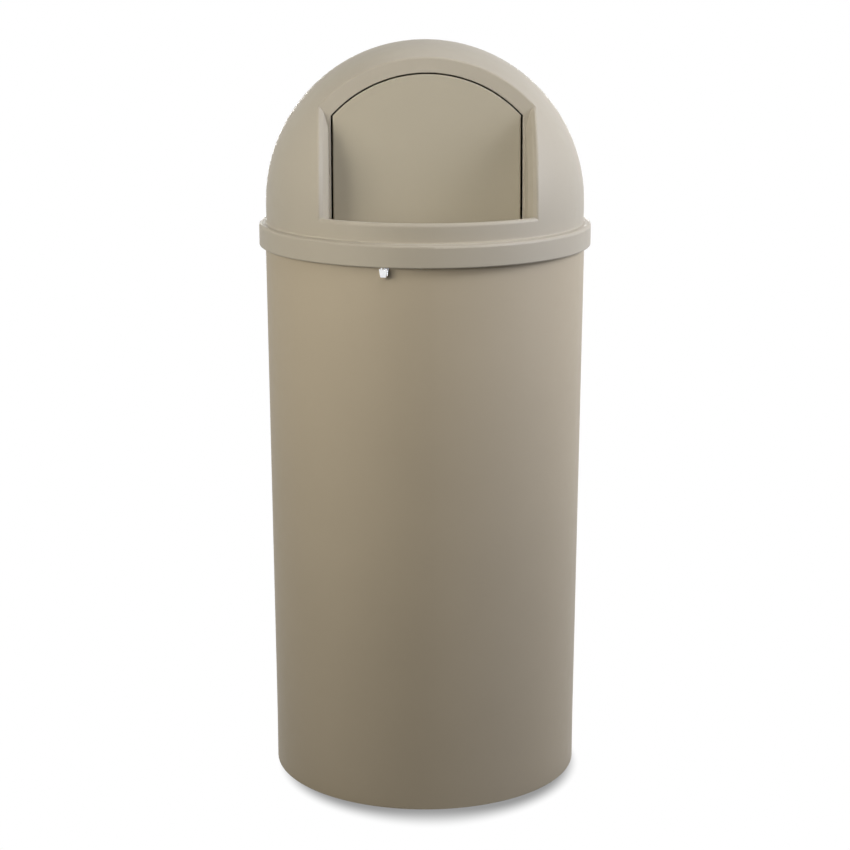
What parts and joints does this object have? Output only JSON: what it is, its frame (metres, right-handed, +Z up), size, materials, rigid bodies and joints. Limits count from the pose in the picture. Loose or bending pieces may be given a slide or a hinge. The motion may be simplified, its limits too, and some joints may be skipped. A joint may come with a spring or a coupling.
{
  "type": "waste receptacle",
  "caption": "Round floor-standing waste receptacle with a lift-off dome top and a self-closing arched push door in a recess.",
  "frame": {"origin": "middle of the footprint, on the floor", "axes": "+Z up, -Y towards the front with the door, +X to the right as seen from the front"},
  "size_m": [0.4744, 0.4744, 1.066],
  "materials": {
    "base_plastic": "fine moulded texture, satin",
    "dome_plastic": "fine moulded texture, satin",
    "door_plastic": "smooth moulded, satin",
    "band_rubber": "matt",
    "bumper_rubber": "matt",
    "hook_chrome": "bright chrome plate",
    "zinc_steel": "zinc plated",
    "coated_steel": "black coated",
    "spring_steel": "oiled spring wire",
    "white_nylon": "natural nylon, moulded"
  },
  "bodies": {
    "base": {"base_shell": "base_plastic", "retainer_band": "band_rubber", "band_splice": "zinc_steel", "band_pull_hook": "hook_chrome", "band_rivets": "zinc_steel"},
    "dome": {"dome_shell": "dome_plastic", "hinge_bracket_left": "coated_steel", "hinge_bracket_right": "coated_steel", "bracket_screws_left": "zinc_steel", "bracket_screws_right": "zinc_steel", "hinge_bushing_left": "white_nylon", "hinge_bushing_right": "white_nylon", "door_bumper_left": "bumper_rubber", "door_bumper_right": "bumper_rubber"},
    "door": {"push_door": "door_plastic", "hinge_rod": "zinc_steel", "rod_push_nut_left": "zinc_steel", "rod_push_nut_right": "zinc_steel", "torsion_spring_left": "spring_steel", "torsion_spring_right": "spring_steel"}
  },
  "joints": [
    {"name": "dome_lift", "type": "slide", "parent": "base", "child": "dome", "axis": [0, 0, 1], "range_m": [0, 0.3]},
    {"name": "door_swing", "type": "hinge", "parent": "dome", "child": "door", "pos_m": [0, -0.0803, 0.95386], "axis": [1, 0, 0], "range_deg": [0, 70], "stiffness_Nm_per_rad": 0.5, "springref_deg": -20.05, "deforming": ["torsion_spring_left", "torsion_spring_right"]}
  ]
}
